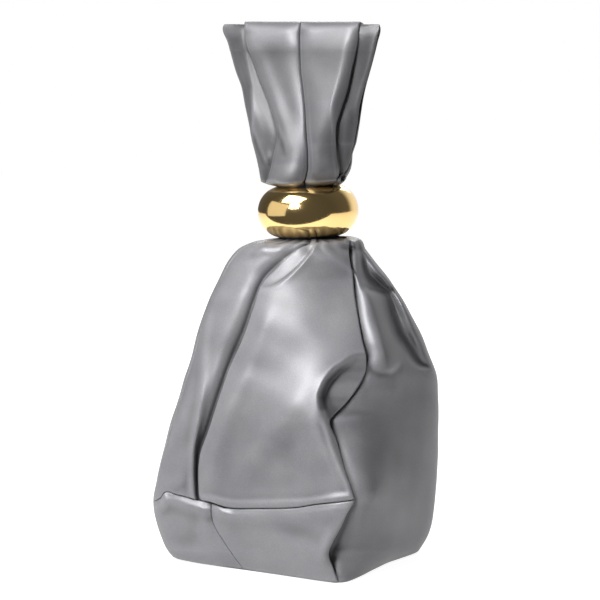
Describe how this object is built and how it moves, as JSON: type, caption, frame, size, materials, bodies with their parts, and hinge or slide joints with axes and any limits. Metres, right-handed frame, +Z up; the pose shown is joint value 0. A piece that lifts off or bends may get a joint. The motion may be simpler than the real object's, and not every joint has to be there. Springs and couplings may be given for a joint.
{
  "type": "knot bag",
  "caption": "Soft leather knot bag on a flat base, its folded panels gathered through a domed sliding metal ring and carried on above it as a pleated loop",
  "frame": {"origin": "on the floor, under the middle of the base", "axes": "+Z up along the bag, +X to the right along the front, -Y towards the front face"},
  "size_m": [0.1574, 0.1326, 0.3479],
  "materials": {
    "leather": "soft nappa leather, pewter grey with a satin metallic sheen",
    "lining": "plain woven fabric, dark grey",
    "board": "pressed fibre board, bare",
    "ring_metal": "gold-coloured plating, mirror polished"
  },
  "bodies": {
    "leather_bag": {"front_left_panel": "leather", "front_right_panel": "leather", "front_band_left": "leather", "front_band_right": "leather", "right_gusset": "leather", "back_left_panel": "leather", "back_right_panel": "leather", "back_band_left": "leather", "back_band_right": "leather", "left_gusset": "leather", "base_panel": "leather", "base_board": "board", "base_lining": "lining", "front_lining": "lining", "right_lining": "lining", "back_lining": "lining", "left_lining": "lining", "loop_outer_left": "leather", "loop_centre_left": "leather", "loop_centre_right": "leather", "loop_outer_right": "leather"},
    "ring": {"ring_dome": "ring_metal", "ring_sleeve": "ring_metal"}
  },
  "joints": [
    {"name": "ring_slide", "type": "slide", "parent": "leather_bag", "child": "ring", "axis": [-0.0437, 0, 0.999], "range_m": [0, 0.045], "deforming": ["loop_outer_left", "loop_centre_left", "loop_centre_right", "loop_outer_right"]}
  ]
}
